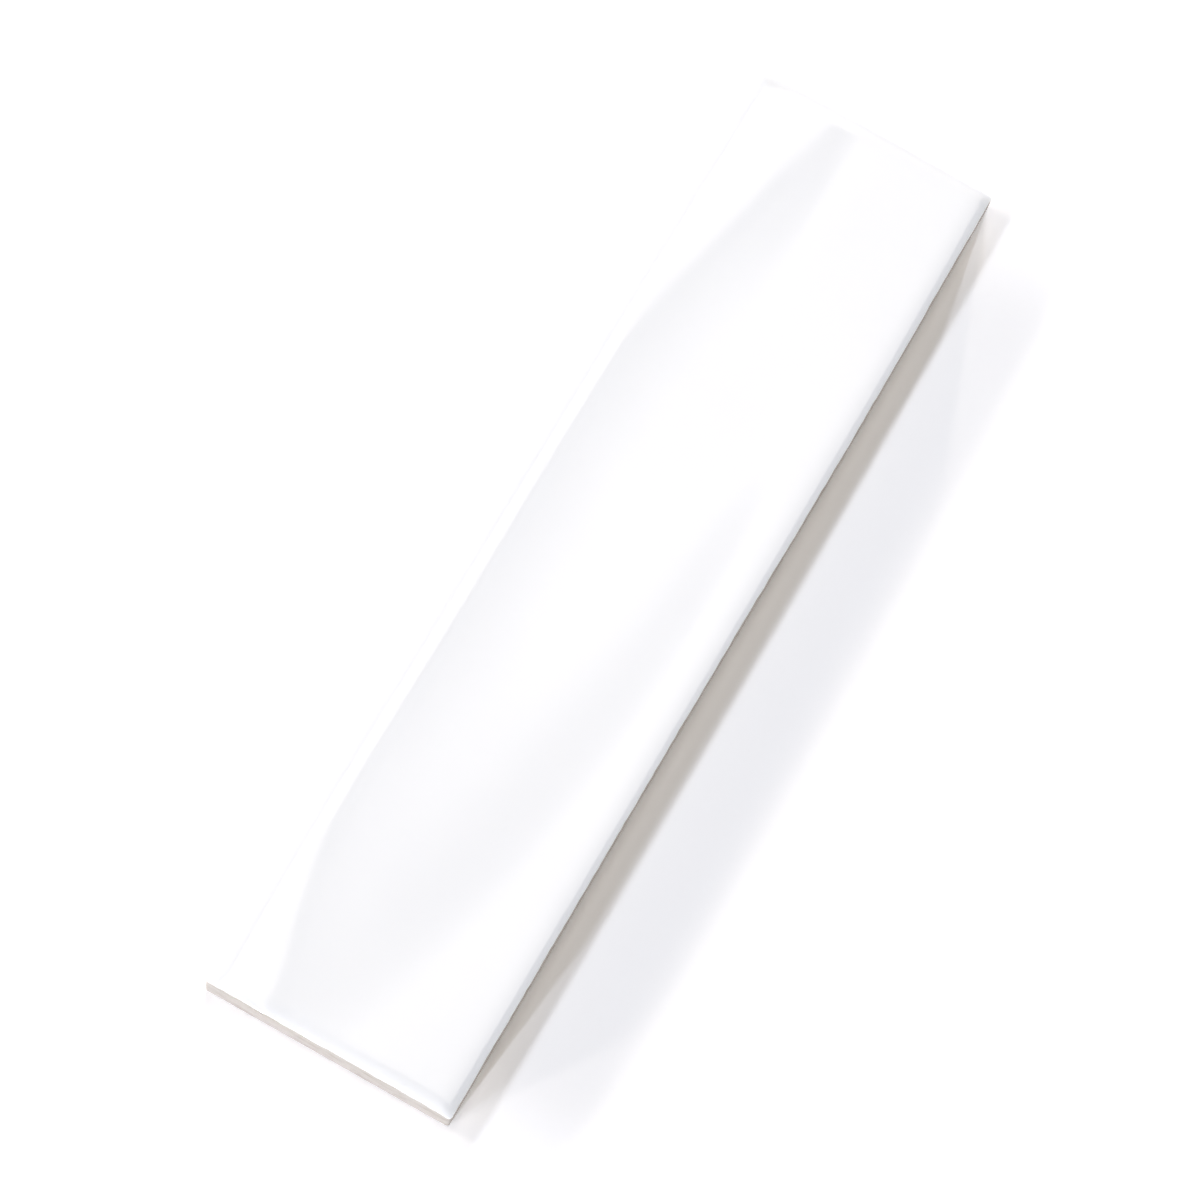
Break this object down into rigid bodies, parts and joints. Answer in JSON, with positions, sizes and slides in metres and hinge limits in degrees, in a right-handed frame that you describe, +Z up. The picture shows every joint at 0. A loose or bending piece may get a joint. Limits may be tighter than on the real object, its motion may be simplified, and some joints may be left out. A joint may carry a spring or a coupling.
{
  "type": "subway wall tile",
  "caption": "Long glossy white glazed ceramic wall tile with a pillowed edge, a gently wavy face and a beige pressed body.",
  "frame": {"origin": "on the ground below the middle of the tile, which lies on its back", "axes": "+X along the tile, +Y across it, +Z up out of the glazed face"},
  "size_m": [0.3, 0.0744, 0.0107],
  "materials": {
    "glazed_ceramic": "gloss white glaze on the face, bare beige pressed body on the sides and back"
  },
  "bodies": {
    "root": {"tile": "glazed_ceramic"}
  },
  "joints": []
}
